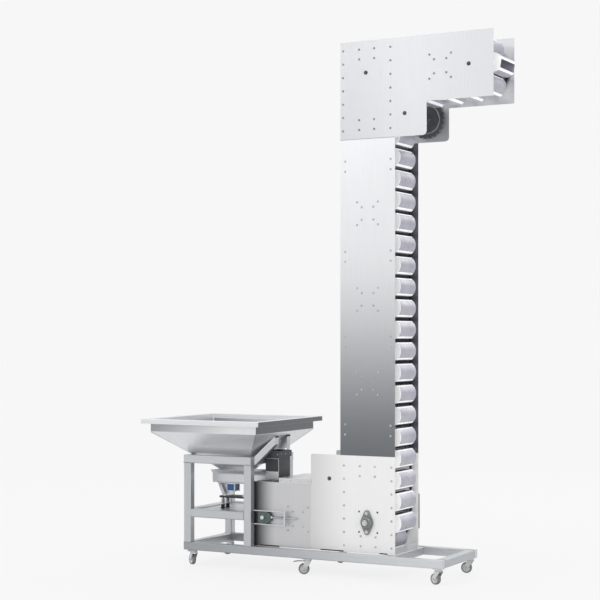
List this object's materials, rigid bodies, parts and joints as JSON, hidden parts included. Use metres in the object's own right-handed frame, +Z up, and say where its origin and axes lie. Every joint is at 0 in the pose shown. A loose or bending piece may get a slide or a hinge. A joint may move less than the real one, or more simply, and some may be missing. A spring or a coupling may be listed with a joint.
{
  "type": "bucket elevator",
  "caption": "Wheeled chain bucket elevator of the Z form: tall open column, discharge arm, lower feed arm, pyramid feed hopper and vibrating trough.",
  "frame": {"origin": "middle of the bounding box in plan, on the floor", "axes": "+Z up, +X along the machine from the hopper to the discharge arm, -Y out of the front plates, the side with the drive bearing"},
  "size_m": [2.7146, 1.008, 3.817],
  "materials": {
    "stainless_sheet": "satin stainless sheet",
    "stainless_tube": "brushed stainless tube",
    "bucket_plastic": "satin moulded plastic",
    "dark_steel": "dark grey paint",
    "cast_grey_green": "grey-green enamel on cast iron",
    "coil_blue": "blue moulded coil",
    "zinc": "zinc-plated pressed steel",
    "tyre_grey": "matt grey rubber"
  },
  "bodies": {
    "machine": {"arm_cover": "stainless_sheet", "arm_front_plate": "stainless_sheet", "arm_rear_plate": "stainless_sheet", "base_boot_crossbar": "stainless_tube", "base_front_rail": "stainless_tube", "base_left_rail": "stainless_tube", "base_rear_rail": "stainless_tube", "base_right_rail": "stainless_tube", "base_stand_crossbar": "stainless_tube", "boot_bend_wheels": "dark_steel", "boot_front_plate": "stainless_sheet", "boot_rear_plate": "stainless_sheet", "bucket_run_boot": "bucket_plastic", "bucket_run_falling_lower": "bucket_plastic", "bucket_run_falling_upper": "bucket_plastic", "bucket_run_head": "bucket_plastic", "bucket_run_rising_lower": "bucket_plastic", "bucket_run_rising_upper": "bucket_plastic", "column_front_plate": "stainless_sheet", "column_rear_plate": "stainless_sheet", "drive_bearing": "dark_steel", "drive_wheels": "dark_steel", "end_wheels": "dark_steel", "feeder_base": "dark_steel", "feeder_bracket": "stainless_sheet", "feeder_magnet": "coil_blue", "feeder_trough": "stainless_sheet", "gearmotor": "dark_steel", "head_bend_wheels": "dark_steel", "head_front_plate": "stainless_sheet", "head_rear_plate": "stainless_sheet", "head_wheels": "dark_steel", "hopper_bin": "stainless_sheet", "hopper_strut_front": "stainless_tube", "hopper_strut_rear": "stainless_tube", "inlet_chute": "dark_steel", "stand_post_front_left": "stainless_tube", "stand_post_front_right": "stainless_tube", "stand_post_rear_left": "stainless_tube", "stand_post_rear_right": "stainless_tube", "stand_shelf": "stainless_tube", "stand_top_frame": "stainless_tube", "takeup_block_front": "cast_grey_green", "takeup_block_rear": "cast_grey_green", "takeup_frame_front": "stainless_sheet", "takeup_frame_rear": "stainless_sheet", "takeup_wheels": "dark_steel"},
    "fork_front_left": {"caster_fork_front_left": "zinc"},
    "wheel_front_left": {"caster_wheel_front_left": "tyre_grey"},
    "fork_front_middle": {"caster_fork_front_middle": "zinc"},
    "wheel_front_middle": {"caster_wheel_front_middle": "tyre_grey"},
    "fork_front_right": {"caster_fork_front_right": "zinc"},
    "wheel_front_right": {"caster_wheel_front_right": "tyre_grey"},
    "fork_rear_left": {"caster_fork_rear_left": "zinc"},
    "wheel_rear_left": {"caster_wheel_rear_left": "tyre_grey"},
    "fork_rear_middle": {"caster_fork_rear_middle": "zinc"},
    "wheel_rear_middle": {"caster_wheel_rear_middle": "tyre_grey"},
    "fork_rear_right": {"caster_fork_rear_right": "zinc"},
    "wheel_rear_right": {"caster_wheel_rear_right": "tyre_grey"}
  },
  "joints": [
    {"name": "caster_swivel_front_left", "type": "hinge", "parent": "machine", "child": "fork_front_left", "pos_m": [-1.04432, -0.255, 0.113], "axis": [0, 0, 1], "continuous": true},
    {"name": "caster_roll_front_left", "type": "hinge", "parent": "fork_front_left", "child": "wheel_front_left", "pos_m": [-1.06725, -0.23894, 0.04], "axis": [-0.5736, -0.8192, 0], "continuous": true},
    {"name": "caster_swivel_front_middle", "type": "hinge", "parent": "machine", "child": "fork_front_middle", "pos_m": [-0.07632, -0.255, 0.113], "axis": [0, 0, 1], "continuous": true},
    {"name": "caster_roll_front_middle", "type": "hinge", "parent": "fork_front_middle", "child": "wheel_front_middle", "pos_m": [-0.10169, -0.26683, 0.04], "axis": [0.4226, -0.9063, 0], "continuous": true},
    {"name": "caster_swivel_front_right", "type": "hinge", "parent": "machine", "child": "fork_front_right", "pos_m": [0.94368, -0.255, 0.113], "axis": [0, 0, 1], "continuous": true},
    {"name": "caster_roll_front_right", "type": "hinge", "parent": "fork_front_right", "child": "wheel_front_right", "pos_m": [0.91737, -0.24542, 0.04], "axis": [-0.342, -0.9397, 0], "continuous": true},
    {"name": "caster_swivel_rear_left", "type": "hinge", "parent": "machine", "child": "fork_rear_left", "pos_m": [-1.08032, 0.345, 0.113], "axis": [0, 0, 1], "continuous": true},
    {"name": "caster_roll_rear_left", "type": "hinge", "parent": "fork_rear_left", "child": "wheel_rear_left", "pos_m": [-1.10832, 0.345, 0.04], "axis": [0, -1, 0], "continuous": true},
    {"name": "caster_swivel_rear_middle", "type": "hinge", "parent": "machine", "child": "fork_rear_middle", "pos_m": [-0.08932, 0.345, 0.113], "axis": [0, 0, 1], "continuous": true},
    {"name": "caster_roll_rear_middle", "type": "hinge", "parent": "fork_rear_middle", "child": "wheel_rear_middle", "pos_m": [-0.11671, 0.35082, 0.04], "axis": [-0.2079, -0.9781, 0], "continuous": true},
    {"name": "caster_swivel_rear_right", "type": "hinge", "parent": "machine", "child": "fork_rear_right", "pos_m": [0.93768, 0.345, 0.113], "axis": [0, 0, 1], "continuous": true},
    {"name": "caster_roll_rear_right", "type": "hinge", "parent": "fork_rear_right", "child": "wheel_rear_right", "pos_m": [0.90995, 0.3411, 0.04], "axis": [0.1392, -0.9903, 0], "continuous": true}
  ]
}
